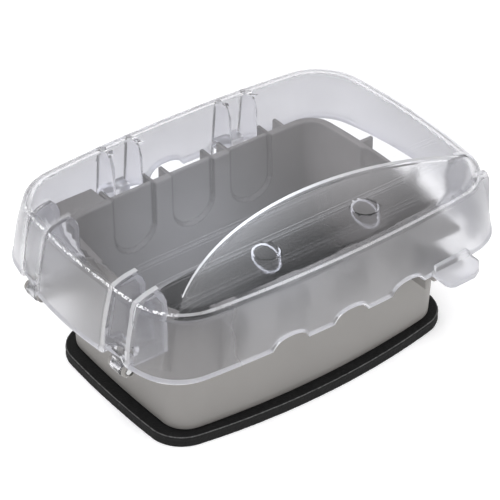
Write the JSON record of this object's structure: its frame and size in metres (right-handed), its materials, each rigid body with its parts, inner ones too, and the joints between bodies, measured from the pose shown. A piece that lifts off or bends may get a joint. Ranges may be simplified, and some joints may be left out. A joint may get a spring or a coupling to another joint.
{
  "type": "weatherproof outlet cover",
  "caption": "In-use weather cover for an electrical outlet: a clear hinged lid with a finger tab and cord openings over a grey tub housing on a foam wall gasket.",
  "frame": {"origin": "middle of the cover's whole footprint, on the wall face of the gasket", "axes": "+X along the length, away from the hinges; +Z out of the wall; -Y towards the side with the finger tab"},
  "size_m": [0.1596, 0.1192, 0.07],
  "materials": {
    "foam": "closed-cell black foam, matt",
    "grey_plastic": "moulded grey, fine satin",
    "black_plastic": "moulded black, satin",
    "clear_plastic": "clear polycarbonate, skirt lightly frosted",
    "steel": "bright stainless steel"
  },
  "bodies": {
    "base": {"wall_gasket": "foam", "gasket_knockout": "foam", "base_housing": "grey_plastic", "adapter_plate": "black_plastic", "device_gasket": "foam", "plate_screw_left": "steel", "plate_screw_right": "steel", "hinge_pin_near": "steel", "hinge_pin_far": "steel"},
    "lid": {"cover_lid": "clear_plastic"}
  },
  "joints": [
    {"name": "lid_hinge", "type": "hinge", "parent": "base", "child": "lid", "pos_m": [-0.0746, 0.0042, 0.0385], "axis": [0, -1, 0], "range_deg": [0, 120]}
  ]
}
